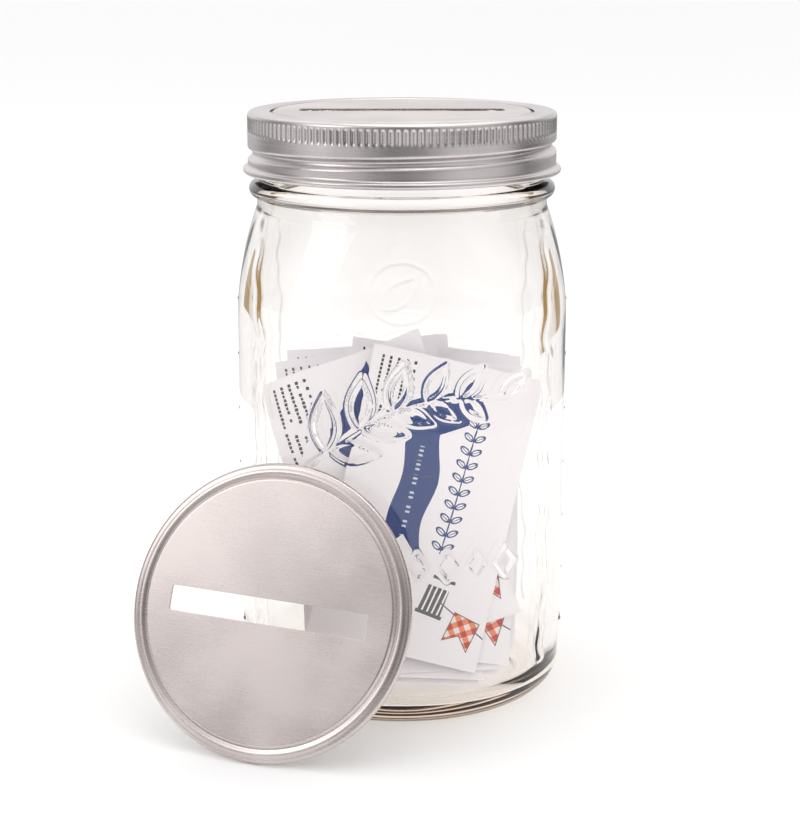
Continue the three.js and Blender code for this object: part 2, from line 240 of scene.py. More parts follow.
def divided(points, spacing, low=-1.0, high=1.0):
    """A profile with extra points, so that none between two heights are further apart."""
    dense = [points[0]]
    for (r0, z0), (r1, z1) in zip(points, points[1:]):
        inside = low <= (z0 + z1) / 2 <= high
        cuts = max(1, math.ceil(math.hypot(r1 - r0, z1 - z0) / spacing)) if inside else 1
        for cut in range(1, cuts + 1):
            share = cut / cuts
            dense.append((r0 + (r1 - r0) * share, z0 + (z1 - z0) * share))
    return dense


def spun(name, profile, columns):
    """Draws a profile by extruding one corner, spins it about Z and closes it."""
    begin()
    bpy.ops.mesh.primitive_plane_add(size=MM, enter_editmode=True)
    piece = bpy.context.object
    piece.name = name
    bpy.ops.mesh.select_mode(type="VERT")
    bpy.ops.mesh.select_all(action="SELECT")
    bpy.ops.mesh.merge(type="CENTER")
    bpy.ops.transform.translate(value=(profile[0][0], 0, profile[0][1]))
    for (r0, z0), (r1, z1) in zip(profile, profile[1:]):
        bpy.ops.mesh.extrude_region_move(
            TRANSFORM_OT_translate={"value": (r1 - r0, 0, z1 - z0)}
        )
    bpy.ops.mesh.select_all(action="SELECT")
    bpy.ops.mesh.spin(steps=columns, angle=TURN, center=(0, 0, 0), axis=(0, 0, 1))
    bpy.ops.mesh.select_all(action="SELECT")
    bpy.ops.mesh.remove_doubles(threshold=0.004 * MM)
    bpy.ops.mesh.normals_make_consistent(inside=False)
    bpy.ops.object.mode_set(mode="OBJECT")
    return piece


def points_of(piece):
    """A piece's points as an array of rows."""
    flat = np.empty(len(piece.data.vertices) * 3)
    piece.data.vertices.foreach_get("co", flat)
    return flat.reshape(-1, 3)


def normals_of(piece):
    """The directions that a piece's surface faces at its points."""
    flat = np.empty(len(piece.data.vertices) * 3)
    piece.data.vertex_normals.foreach_get("vector", flat)
    return flat.reshape(-1, 3)


def set_points(piece, points):
    """Puts a piece's points where an array says."""
    piece.data.vertices.foreach_set("co", np.asarray(points, float).ravel())
    piece.data.update()


def facing_of(points, normals):
    """Each point's direction from the axis, and how far its surface faces that way."""
    radial = points[:, :2] / np.maximum(np.hypot(*points[:, :2].T), 1e-9)[:, None]
    return radial, np.einsum("ij,ij->i", normals[:, :2], radial)


def smooth_step(value):
    """0 below 0, 1 above 1, and a smooth rise between."""
    share = np.clip(value, 0, 1)
    return share * share * (3 - 2 * share)


def bump_at(distance, half_width):
    """A rounded ridge: 1 on its middle line and 0 at its foot."""
    return np.cos(np.clip(np.abs(distance) / half_width, 0, 1) * math.pi / 2) ** 2


def finish_piece(piece, body, nodes, sharp=35, flat_faces=False):
    """Shades a piece, makes it ride on its body and lets it stand for its nodes."""
    pick(piece)
    bpy.ops.object.shade_smooth_by_angle(angle=sharp * DEGREE)
    if flat_faces:
        even = piece.modifiers.new("even shading", "WEIGHTED_NORMAL")
        even.keep_sharp, even.weight = True, 100
        apply_all(piece)
    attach(piece, body)
    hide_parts(*nodes)


def apply_all(piece):
    """Applies a piece's modifiers in order."""
    pick(piece)
    for modifier in list(piece.modifiers):
        bpy.ops.object.modifier_apply(modifier=modifier.name)


# ---- node helpers ---------------------------------------------------------------------


def add(tree, kind, settings=None, **values):
    """Adds a node, sets its options, and sets or joins its inputs by name."""
    node = tree.nodes.new(kind)
    for key, value in (settings or {}).items():
        setattr(node, key, value)
    for key, value in values.items():
        put(tree, node.inputs[key.replace("_", " ")], value)
    return node


def put(tree, socket, value):
    """Joins a socket to another, or sets its value."""
    if isinstance(value, Value):
        value = value.socket
    if isinstance(value, bpy.types.NodeSocket):
        tree.links.new(value, socket)
    elif isinstance(value, (tuple, list)) and len(value) == 3 and socket.type == "RGBA":
        socket.default_value = (*value, 1.0)
    else:
        socket.default_value = value


class Value:
    """A number in a node tree. Signs add Math nodes, and a comparison gives a 0 or 1 mask."""

    def __init__(self, tree, socket):
        self.tree, self.socket = tree, socket

    def math(self, operation, *others):
        """A Math node's result, with this value first."""
        node = self.tree.nodes.new("ShaderNodeMath")
        node.operation = operation
        for socket, value in zip(node.inputs, (self, *others)):
            put(self.tree, socket, value)
        return Value(self.tree, node.outputs[0])

    def between(self, low, high):
        """1 where the value lies between two limits."""
        return self.math("COMPARE", (low + high) / 2, (high - low) / 2)

    def repeated(self, pitch):
        """How far through its own pitch the value is, from 0 to 1."""
        return (self / pitch).math("FRACT")

    def __add__(self, other):
        return self.math("ADD", other)

    def __sub__(self, other):
        return self.math("SUBTRACT", other)

    def __mul__(self, other):
        return self.math("MULTIPLY", other)

    def __truediv__(self, other):
        return self.math("DIVIDE", other)

    def __lt__(self, other):
        return self.math("LESS_THAN", other)

    def __gt__(self, other):
        return self.math("GREATER_THAN", other)

    def __and__(self, other):
        return self.math("MULTIPLY", other)

    def __or__(self, other):
        return self.math("MAXIMUM", other)


def mixed(tree, mask, under, over):
    """One colour over another, where a mask shows it."""
    node = add(tree, "ShaderNodeMix", {"data_type": "RGBA"})
    put(tree, node.inputs[0], mask)
    put(tree, node.inputs[6], under)
    put(tree, node.inputs[7], over)
    return node.outputs[2]


def ramp(tree, value, low, high, start=0.0, end=1.0):
    """A value moved smoothly from one range to another."""
    node = add(tree, "ShaderNodeMapRange", {"interpolation_type": "SMOOTHSTEP"}, Value=value)
    for name, number in (("From Min", low), ("From Max", high), ("To Min", start), ("To Max", end)):
        node.inputs[name].default_value = number
    return Value(tree, node.outputs[0])


def new_material(name):
    """An empty material, its tree and its Principled shader, joined to the output."""
    material = bpy.data.materials.new(name)
    material.use_nodes = True
    tree = material.node_tree
    tree.nodes.clear()
    output = tree.nodes.new("ShaderNodeOutputMaterial")
    shader = tree.nodes.new("ShaderNodeBsdfPrincipled")
    tree.links.new(shader.outputs[0], output.inputs["Surface"])
    return material, tree, shader, output


def grain_group():
    """Fine uneven lines drawn along X."""
    if "Brushed grain" in bpy.data.node_groups:
        return bpy.data.node_groups["Brushed grain"]
    group = bpy.data.node_groups.new("Brushed grain", "ShaderNodeTree")
    group.interface.new_socket("Vector", in_out="INPUT", socket_type="NodeSocketVector")
    group.interface.new_socket("Grain", in_out="OUTPUT", socket_type="NodeSocketFloat")
    source = group.nodes.new("NodeGroupInput")
    target = group.nodes.new("NodeGroupOutput")
    lines = add(group, "ShaderNodeTexNoise", Vector=source.outputs[0], Scale=1.0, Detail=4.0,
                Roughness=0.7)
    put(group, target.inputs["Grain"], lines.outputs[0])
    return group


# ---- materials ------------------------------------------------------------------------


def glass_material():
    """Clear moulded glass: slightly warm where it is thick, faintly wavy."""
    material, tree, shader, output = new_material("Clear glass")
    put(tree, shader.inputs["Base Color"], WHITE)
    shader.inputs["Roughness"].default_value = 0.0
    shader.inputs["IOR"].default_value = 1.5
    shader.inputs["Transmission Weight"].default_value = 1.0
    place = add(tree, "ShaderNodeTexCoord")
    ripple = add(tree, "ShaderNodeTexNoise", Vector=place.outputs["Object"], Scale=38.0, Detail=1.5)
    bump = add(tree, "ShaderNodeBump", Height=ripple.outputs[0], Strength=0.08, Distance=0.001)
    put(tree, shader.inputs["Normal"], bump.outputs[0])
    clear = add(tree, "ShaderNodeBsdfTransparent", Color=(0.97, 0.97, 0.96))
    path = tree.nodes.new("ShaderNodeLightPath")
    passing = Value(tree, path.outputs["Is Shadow Ray"]) | path.outputs["Is Diffuse Ray"]
    choice = tree.nodes.new("ShaderNodeMixShader")
    put(tree, choice.inputs[0], passing)
    tree.links.new(shader.outputs[0], choice.inputs[1])
    tree.links.new(clear.outputs[0], choice.inputs[2])
    tree.links.new(choice.outputs[0], output.inputs["Surface"])
    tint = add(tree, "ShaderNodeVolumeAbsorption", Color=GLASS_TINT, Density=GLASS_DENSITY)
    tree.links.new(tint.outputs[0], output.inputs["Volume"])
    return material


def steel_material(name, vector_scale, tint, uv=None):
    """Satin steel with fine lines along one way and soft uneven sheen."""
    material, tree, shader, _ = new_material(name)
    if uv:
        source = add(tree, "ShaderNodeUVMap", {"uv_map": uv}).outputs[0]
    else:
        source = add(tree, "ShaderNodeTexCoord").outputs["Object"]
    mapping = add(tree, "ShaderNodeMapping", Vector=source, Scale=vector_scale)
    group = {"node_tree": grain_group()}
    grain = add(tree, "ShaderNodeGroup", group, Vector=mapping.outputs[0])
    patch_scale = 2.6 if uv else 42.0
    soft = add(tree, "ShaderNodeTexNoise", Vector=source, Scale=patch_scale, Detail=2.0)
    blotch = ramp(tree, soft.outputs[0], 0.35, 0.68)
    streak = ramp(tree, grain.outputs["Grain"], 0.3, 0.72)
    steel = add(tree, "ShaderNodeVectorMath", {"operation": "SCALE"})
    steel.inputs[0].default_value = tint
    put(tree, steel.inputs["Scale"], streak * 0.07 + 0.84 + blotch * 0.22)
    put(tree, shader.inputs["Base Color"], steel.outputs[0])
    shader.inputs["Metallic"].default_value = 1.0
    put(tree, shader.inputs["Roughness"], streak * 0.08 + 0.20 + blotch * 0.08)
    bump = add(tree, "ShaderNodeBump", Height=grain.outputs["Grain"], Strength=0.22,
               Distance=0.03 * MM)
    put(tree, shader.inputs["Normal"], bump.outputs[0])
    return material


def word_lines(along, across, pitch, letter, chance):
    """Greeked print: short dark dashes in rows, broken where a random value is low."""
    tree = along.tree
    row, cell = (across / pitch).math("FLOOR"), (along / letter).math("FLOOR")
    seat = add(tree, "ShaderNodeCombineXYZ", X=cell, Y=row)
    flat = {"noise_dimensions": "2D"}
    chosen = add(tree, "ShaderNodeTexWhiteNoise", flat, Vector=seat.outputs[0])
    shown = Value(tree, chosen.outputs["Value"]) > chance
    in_row = across.repeated(pitch).between(0.34, 0.66)
    return shown & in_row & along.repeated(letter).between(0.1, 0.86)


def turned_to(along, across, centre, angle):
    """Two distances measured from a point, along and across a turned direction."""
    a, b = along - centre[0], across - centre[1]
    cosine, sine = math.cos(angle * DEGREE), math.sin(angle * DEGREE)
    return a * cosine + b * sine, b * cosine - a * sine


def pennant(along, across, centre, angle):
    """A swallow-tailed flag: its mask, its outline and its two sets of checks."""
    down, side = turned_to(along, across, centre, angle)
    reach = side.math("ABSOLUTE")
    left = reach * 0.85 + 6.0 - down
    inside = (reach < 4.1) & (down > 0.0) & (left > 0.0)
    inner = (reach < 3.85) & (down > 0.3) & (left > 0.35)
    first_way, second_way = turned_to(down, side, (0.0, 0.0), 45)
    first = first_way.repeated(CHECK_SIZE) < 0.5
    return inside, inner < 0.5, first, second_way.repeated(CHECK_SIZE) < 0.5


def ribbon_mask(across, along):
    """A wavy ribbon down the card, by itself and with its fold at the top."""
    wave = (along * 0.23 + -0.4).math("SINE")
    strip = (across < wave * 1.2 + 26.6) & (across > wave * 0.8 + 16.2)
    cut = (across - 21.2).math("ABSOLUTE") * 1.1 + 53.5
    strip = strip & (along > 19.0) & (along < cut)
    fold = (along > across * -0.95 + 34.5) & (along < across * -0.60 + 37.5)
    return strip, strip | (fold & across.between(16.0, 33.0))


def garland_mask(across, along):
    """A garland: outlined leaves set left and right of a thin stem."""
    aside = across - (along * -0.07 + 37.1)
    shape = aside.between(-0.22, 0.22)
    for way in (-1, 1):
        down = ((along + LEAF_PITCH / 2 * way).repeated(LEAF_PITCH) - 0.5) * LEAF_PITCH
        forward, sideways = turned_to(aside, down, (1.75 * way, 0.0), -32 * way)
        long_way = forward * 0.52
        reach = (long_way * long_way + sideways * sideways).math("SQRT")
        vein = sideways.between(-0.11, 0.11) & forward.between(-1.0, 1.2)
        shape = shape | reach.between(0.62, 0.98) | vein
    return shape & along.between(15.5, 57.0)


def jar_sketch(across, along):
    """A dark drawing of a small lidded jar: a coiled lid over a pale body."""
    forward, sideways = turned_to(along, across, (69.5, 34.4), -8)
    coil = (sideways * 0.62 + forward * 0.05).math("FRACT")
    body = (coil < 0.66) & sideways.between(-3.6, 3.6) & forward.between(-3.0, 5.2)
    cap = sideways.between(-2.4, 4.6) & forward.between(-6.2, -5.2)
    edge = sideways.between(-4.2, 4.2) & forward.between(5.0, 6.1)
    return body | cap | edge


def front_print(result, across, along, cards):
    """The printed face, from the ribbon up to the pennant on its string."""
    tree = across.tree
    navy, grey = (*cards.navy,), (*cards.grey,)
    strip, ribbon = ribbon_mask(across, along)
    crease = strip & (across * 0.35 + along).between(43.6, 44.3)
    marks = strip & across.between(19.6, 23.4) & along.between(26.0, 54.0)
    marks = marks & word_lines(along, across, 3.8, 4.4, 0.1)
    marks = marks & ((along * 0.7).math("FRACT") > 0.55)
    small = word_lines(along, across, 2.5, 1.25, 0.22) & across.between(3.4, 15.8)
    small = small & along.between(2.5, 30.0) & (along < across * -1.3 + 32.0)
    down, aside = turned_to(along, across, (70.6, 36.0), 62)
    string = aside.between(-0.2, 0.2) & down.between(0.0, 17.0)
    inside, rim, first, second = pennant(along, across, (73.6, 45.4), -14)
    checks = mixed(tree, first | second, CHECK_WHITE, (*cards.coral,))
    checks = mixed(tree, first & second, checks, (*cards.red,))
    checks = mixed(tree, rim, checks, FLAG_RIM)
    layers = (
        (ribbon, navy), (crease, CREASE_BLUE), (marks, PALE_BLUE),
        (garland_mask(across, along), navy), (jar_sketch(across, along), SKETCH_GREY),
        (small, grey), (string, STRING_GREY), (inside, checks),
    )
    for mask, ink in layers:
        result = mixed(tree, mask, result, ink)
    return result


def card_material(cards, name, side):
    """Uncoated card with a generic print: the full one in front, small print on the back."""
    material, tree, shader, _ = new_material(name)
    place = add(tree, "ShaderNodeUVMap", {"uv_map": "UVMap"})
    split = add(tree, "ShaderNodeSeparateXYZ", Vector=place.outputs[0])
    across = Value(tree, split.outputs[0]) * (cards.width / MM)
    along = (Value(tree, split.outputs[1]) * -1.0 + 1.0) * (cards.length / MM)
    paper = (*cards.paper,)
    fibre = add(tree, "ShaderNodeTexNoise", Vector=place.outputs[0], Scale=60.0, Detail=5.0)
    shade = ramp(tree, fibre.outputs[0], 0.3, 0.7)
    result = mixed(tree, shade, tuple(c * 0.975 for c in paper), paper)
    if side == "front":
        result = front_print(result, across, along, cards)
    else:
        small = word_lines(across, along, 3.1, 2.0, 0.35)
        small = small & along.between(8.0, 27.0) & across.between(8.0, 43.0)
        result = mixed(tree, small, result, (*cards.grey,))
    put(tree, shader.inputs["Base Color"], result)
    shader.inputs["Roughness"].default_value = 0.72
    bump = add(tree, "ShaderNodeBump", Height=fibre.outputs[0], Strength=0.12, Distance=0.0001)
    put(tree, shader.inputs["Normal"], bump.outputs[0])
    return material


# ---- moulded ornament -----------------------------------------------------------------


def distance_to(points, line):
    """The distance from each point to a line of straight stretches."""
    nearest = np.full(len(points), 1.0)
    for start, end in zip(line, line[1:]):
        start, end = np.array(start), np.array(end)
        way = end - start
        share = np.clip(((points - start) @ way) / max(way @ way, 1e-12), 0, 1)
        gap = points - (start + share[:, None] * way)
        nearest = np.minimum(nearest, np.hypot(gap[:, 0], gap[:, 1]))
    return nearest


def stem_point(share):
    """A point on the sprig's curved stem, in millimetres across and up."""
    return np.array((-27.0 + 55.0 * share, 78.5 + 22.0 * share + 7.5 * math.sin(share * 3.4)))


def leaf_outline(foot, angle, size, fullness):
    """A pointed leaf's closed outline."""
    forward = np.array((math.cos(angle * DEGREE), math.sin(angle * DEGREE)))
    side = np.array((-forward[1], forward[0]))
    shares = np.linspace(0, 1, 13)
    outline = []
    for way, order in ((1, shares), (-1, shares[::-1])):
        for share in order:
            width = fullness * math.sin(math.pi * share**0.85)
            outline.append(foot + forward * size * share + way * side * size * width)
    return outline


def sprig_lines():
    """The lines of a leafy sprig across the front panel."""
    lines = [[stem_point(share) for share in np.linspace(0, 1, 25)]]
    for number, share in enumerate((0.10, 0.27, 0.44, 0.61, 0.78)):
        foot = stem_point(share)
        ahead = stem_point(share + 0.02) - foot
        heading = math.atan2(ahead[1], ahead[0]) / DEGREE
        size = 17.0 - 1.6 * number
        lines.append(leaf_outline(foot, heading + 52, size, 0.21))
        lines.append(leaf_outline(foot + ahead, heading - 44, size * 0.82, 0.21))
    lines.append(leaf_outline(stem_point(1.0), 38, 9.0, 0.24))
    return lines


def lozenge(centre, half_width, half_height):
    """A diamond's closed outline."""
    x, z = centre
    return [(x - half_width, z), (x, z + half_height), (x + half_width, z), (x, z - half_height),
            (x - half_width, z)]


def ring(centre, radius):
    """A circle's closed outline."""
    return [(centre[0] + radius * math.cos(a), centre[1] + radius * math.sin(a))
            for a in np.linspace(0, TURN, 33)]


def raised(points, lines, half_width):
    """How far the glass stands out over a set of lines: 1 on them and 0 beside them."""
    height = np.zeros(len(points))
    for line in lines:
        line = np.array(line) * MM
        reach = half_width * MM
        low, high = line.min(0) - reach, line.max(0) + reach
        near = np.all((points > low) & (points < high), axis=1)
        if near.any():
            ridge = bump_at(distance_to(points[near], line), reach)
            height[near] = np.maximum(height[near], ridge)
    return height


def seam_shift(height):
    """How far the moulded seam wanders sideways at a height, in millimetres."""
    return 0.45 * np.sin(height * 0.21) + 0.3 * np.sin(height * 0.53 + 1.0)


def jar_relief(points, outward):
    """How far the moulded glass stands out at each point, in shares of the relief."""
    x, y, z = points.T
    height = np.zeros(len(points))
    front = (outward > FACING_OUT) & (y < 0) & (np.abs(x) < 36 * MM)
    panel = np.stack([x[front], z[front]], axis=1)
    height[front] = raised(panel, sprig_lines(), 1.25)
    beads = [lozenge((-29.75 + 8.5 * step, 50), 2.9, 4.4) for step in range(8)]
    height[front] = np.maximum(height[front], 0.8 * raised(panel, beads, 0.9))
    back = (outward > FACING_OUT) & (y > 0) & (np.abs(x) < 20 * MM)
    medal = [ring((0, 113), 11.2), leaf_outline(np.array((-6, 107)), 48, 16, 0.24)]
    height[back] = 0.42 * raised(np.stack([x[back], z[back]], axis=1), medal, 1.1)
    seam = (outward > FACING_OUT) & (z > 14 * MM) & (z < 146 * MM) & (np.abs(y) > 15 * MM)
    offset = np.abs(x[seam]) / MM - SEAM_ACROSS - seam_shift(z[seam] / MM)
    height[seam] = np.maximum(height[seam], 0.42 * bump_at(offset, 1.5))
    for way in (-1, 1):
        side = (outward > FACING_OUT) & (x * way > 30 * MM) & (np.abs(y) < 12 * MM)
        panel = np.stack([y[side], z[side]], axis=1)
        marks = [[(-4.5, tick), (4.5, tick)] for tick in TICK_HEIGHTS]
        marks.append([(-3.0, TOP_TICK), (3.0, TOP_TICK)])
        if way < 0:
            marks += [[(-1.5, 82 + 5 * step), (1.5, 83 + 5 * step)] for step in range(6)]
        height[side] = raised(panel, marks, 1.1)
    return height


# ---- the jar --------------------------------------------------------------------------


def square_factor(angle, corner):
    """Distance from the centre to a rounded square of half width 1, for an array of angles."""
    across = np.maximum(np.abs(np.cos(angle)), np.abs(np.sin(angle)))
    along = np.minimum(np.abs(np.cos(angle)), np.abs(np.sin(angle)))
    straight = 1 - corner
    total = across + along
    round_part = np.maximum(straight**2 * total**2 - 2 * straight**2 + corner**2, 0)
    return np.where(along / across <= straight, 1 / across, straight * total + np.sqrt(round_part))


def thread_middle(sizes, angle):
    """The rolled groove's height at an angle about the axis, and the share of its turn there."""
    turned = np.mod(angle - THREAD_START, TURN) / TURN
    return BAND_LOW.z + THREAD_ABOVE_BAND + sizes.pitch * turned, turned


def shoulder_points(sizes, half, neck, top, steps):
    """Points up a shoulder that curves in late."""
    shares = [step / steps for step in range(1, steps + 1)]
    rise = top - sizes.shoulder
    return [(half + (neck - half) * s**SHOULDER_POWER, sizes.shoulder + rise * s) for s in shares]


def jar_profile(sizes):
    """The jar's section, up the outside and down the inside, with its points close together."""
    half = sizes.width / 2
    bead_top = sizes.height - sizes.bead_below_rim
    bead_low = bead_top - sizes.bead_height
    bead_round = sizes.bead_height / 2
    neck_low = bead_low - NECK_HEIGHT
    inner = half - sizes.wall
    inner_heel = sizes.heel - INNER_HEEL_TIGHTER
    rim = sizes.finish - RIM_INSET
    outside = [(0, sizes.push_up), (sizes.foot - FOOT_SLOPE, sizes.push_up), (sizes.foot, 0)]
    outside += arc(half - sizes.heel, sizes.heel, sizes.heel, -90, 0, 12)
    outside += [(half, sizes.square_height), (half, sizes.shoulder)]
    outside += shoulder_points(sizes, half, sizes.neck, neck_low, 22)
    outside += [(sizes.neck, bead_low - 0.3 * MM)]
    outside += arc(sizes.bead - bead_round, bead_low + bead_round, bead_round, -78, 90, 12)
    outside += [(sizes.finish, bead_top + 0.4 * MM), (sizes.finish, sizes.height - RIM_HEIGHT)]
    outside += arc(rim - RIM_ROUND, sizes.height - RIM_ROUND, RIM_ROUND, 0, 90, 5)
    inside = arc(sizes.mouth + RIM_ROUND, sizes.height - RIM_ROUND, RIM_ROUND, 90, 180, 5)
    inside += [(sizes.mouth, bead_top)]
    inside += shoulder_points(sizes, inner, sizes.mouth, neck_low, 14)[::-1]
    inside += [(inner, sizes.shoulder), (inner, sizes.square_height)]
    inside += arc(inner - inner_heel, sizes.base + inner_heel, inner_heel, 0, -90, 9)
    inside += [(0, sizes.base)]
    outside = divided(outside, 1.3 * MM, 9 * MM, sizes.shoulder)
    outside = divided(outside, 0.6 * MM, bead_top, sizes.height)
    inside = divided(inside, 4.0 * MM, 12 * MM, sizes.height)
    return outside + inside


def squareness(sizes, height):
    """How square the jar is at a height: round at the foot and bead, square between."""
    bead_low = sizes.height - sizes.bead_below_rim - sizes.bead_height
    rising = smooth_step((height - MM) / (sizes.square_height - MM))
    falling = smooth_step((bead_low - height) / (bead_low - sizes.shoulder))
    return np.minimum(rising, falling)


def refine(piece, inside_zone, cuts):
    """Subdivides the faces whose middle is in a zone."""
    pick(piece)
    bpy.ops.object.mode_set(mode="EDIT")
    bpy.ops.mesh.select_mode(type="FACE")
    bpy.ops.mesh.select_all(action="DESELECT")
    bpy.ops.object.mode_set(mode="OBJECT")
    for face in piece.data.polygons:
        face.select = inside_zone(face.center, face.normal)
    bpy.ops.object.mode_set(mode="EDIT")
    bpy.ops.mesh.subdivide(number_cuts=cuts)
    bpy.ops.object.mode_set(mode="OBJECT")


class COINBANK_OT_jar(bpy.types.Operator):
    """Spin the glass jar, square its body and raise its moulded ornament"""

    bl_idname = "coinbank.jar"
    bl_label = "Glass jar"

    def execute(self, context):
        sizes = context.scene.coinbank_jar
        steel = context.scene.coinbank_steel
        jar = spun("jar_glass", jar_profile(sizes), sizes.columns)
        points = points_of(jar)
        angle = np.arctan2(points[:, 1], points[:, 0])
        factor = square_factor(angle, sizes.corner / (sizes.width / 2))
        points[:, :2] *= (1 + squareness(sizes, points[:, 2]) * (factor - 1))[:, None]
        set_points(jar, points)
        outer = (sizes.width / 2 - sizes.wall / 2) * 0.98

        def front_zone(centre, normal):
            return (normal.y < -0.3 and centre.y < 0 and abs(centre.x) < 34 * MM
                    and math.hypot(centre.x, centre.y) > outer
                    and (43 * MM < centre.z < 57 * MM or 73 * MM < centre.z < 118 * MM))

        def tick_zone(centre, normal):
            near = min(abs(centre.z - tick * MM) for tick in TICK_HEIGHTS + [TOP_TICK])
            return (abs(normal.x) > 0.8 and abs(centre.x) > outer and abs(centre.y) < 7 * MM
                    and (near < 2.2 * MM or (centre.x < 0 and 80 * MM < centre.z < 110 * MM)))

        def medal_zone(centre, normal):
            return (normal.y > 0.5 and abs(centre.x) < 14 * MM and centre.y > outer
                    and 98 * MM < centre.z < 128 * MM)

        def seam_zone(centre, normal):
            gap = abs(centre.x) / MM - SEAM_ACROSS - float(seam_shift(centre.z / MM))
            return (abs(gap) < 2.2 and abs(centre.y) > 15 * MM and 13 * MM < centre.z < 147 * MM
                    and math.hypot(centre.x, centre.y) > outer and normal.y * centre.y > 0)

        refine(jar, front_zone, 2)
        refine(jar, tick_zone, 2)
        refine(jar, medal_zone, 2)
        refine(jar, seam_zone, 1)
        points, normals = points_of(jar), normals_of(jar)
        radial, outward = facing_of(points, normals)
        height = jar_relief(points, outward) * sizes.relief
        points += normals * height[:, None]
        points[:, :2] += radial * self.thread(sizes, steel, points, outward)[:, None]
        inner = (outward < -0.3) & (points[:, 2] < sizes.shoulder)
        angle = np.arctan2(points[:, 1], points[:, 0])
        wave = np.sin(angle * 7 + points[:, 2] * 45) * np.sin(angle * 3 - points[:, 2] * 70 + 1)
        points[:, :2] -= radial * (wave * WAVE_DEPTH * inner)[:, None]
        set_points(jar, points)
        jar.data.materials.append(glass_material())
        finish_piece(jar, "jar", ["glass_jar"], 50)
        return {"FINISHED"}

    def thread(self, sizes, steel, points, outward):
        """How far the screw thread stands out of the finish at each point."""
        bead_top = sizes.height - sizes.bead_below_rim
        zone = (outward > 0.5) & (points[:, 2] > bead_top + 0.5 * MM)
        zone &= points[:, 2] < sizes.height - RIM_HEIGHT
        middle, turned = thread_middle(steel, np.arctan2(points[:, 1], points[:, 0]))
        offset = points[:, 2] - middle - RIDGE_ABOVE_GROOVE
        fade = smooth_step(np.minimum(turned, 1 - turned) / 0.06)
        return zone * fade * bump_at(offset, 1.3 * MM) * sizes.thread_height


# ---- the screw band -------------------------------------------------------------------


class COINBANK_OT_band(bpy.types.Operator):
    """Spin the screw band, press in its thread and knurl its edge"""

    bl_idname = "coinbank.band"
    bl_label = "Screw band"

    def execute(self, context):
        sizes = context.scene.coinbank_steel
        top, low = BAND_HIGH.z, BAND_LOW.z
        outer, inner = sizes.band_wall, sizes.band_wall - sizes.sheet
        edge, curl = sizes.band_round, sizes.band_curl
        curl_height = low + curl
        wall_low = curl_height + curl + 0.4 * MM
        profile = [(sizes.lip, top - sizes.sheet), (outer - edge, top - sizes.sheet)]
        profile += arc(outer - edge, top - edge, edge - sizes.sheet, 90, 0, 4)[1:]
        profile += divided([(inner, top - edge), (inner, curl_height + curl)], 1.0 * MM)[1:]
        profile += arc(inner + curl, curl_height, curl, 140, 450, 14)
        knurl_low = top - 6.2 * MM
        profile += divided([(outer, wall_low), (outer, knurl_low)], 0.55 * MM)
        profile += divided([(outer, knurl_low), (outer, top - edge)], 0.36 * MM)[1:]
        profile += arc(outer - edge, top - edge, edge, 0, 90, 7)[1:]
        profile += [(sizes.lip + 0.25 * MM, top), (sizes.lip, top - 0.2 * MM)]
        profile += [(sizes.lip, top - sizes.sheet)]
        band = spun("screw_band_steel", profile, sizes.ribs * COLUMNS_PER_RIB)
        points, normals = points_of(band), normals_of(band)
        angle = np.arctan2(points[:, 1], points[:, 0])
        radius = np.hypot(points[:, 0], points[:, 1])
        middle, turned = thread_middle(sizes, angle)
        fade = smooth_step(np.minimum(turned, 1 - turned) / 0.10)
        on_wall = (radius > inner - 0.05 * MM) & (points[:, 2] > wall_low - 0.1 * MM)
        offset = points[:, 2] - middle
        press = np.clip(bump_at(offset, sizes.groove_width / 2 * 1.25) * 1.25, 0, 1)
        radius -= on_wall * fade * press * sizes.groove_depth * 0.9
        radial, outward = facing_of(points, normals)
        height = top - points[:, 2]
        window = smooth_step((height - KNURL_TOP) / KNURL_FADE)
        window *= smooth_step((KNURL_BOTTOM - height) / KNURL_FADE)
        rib = (0.5 - 0.5 * np.cos(angle * sizes.ribs)) ** 1.6
        upright = np.abs(outward) > 0.5
        radius -= upright * window * rib * sizes.rib_depth
        seam = bump_at(height - KNURL_BOTTOM, 0.55 * MM)
        seam += 0.5 * bump_at(height - 1.7 * MM, 0.4 * MM)
        radius -= upright * seam * rib * 0.5 * sizes.rib_depth
        points[:, :2] = radial * radius[:, None]
        set_points(band, points)
        steel = steel_material("Band steel", (12, 12, 1500), tuple(sizes.band_tint))
        band.data.materials.append(steel)
        finish_piece(band, "band", ["screw_band"], 55)
        return {"FINISHED"}


# ---- the slotted lids -----------------------------------------------------------------


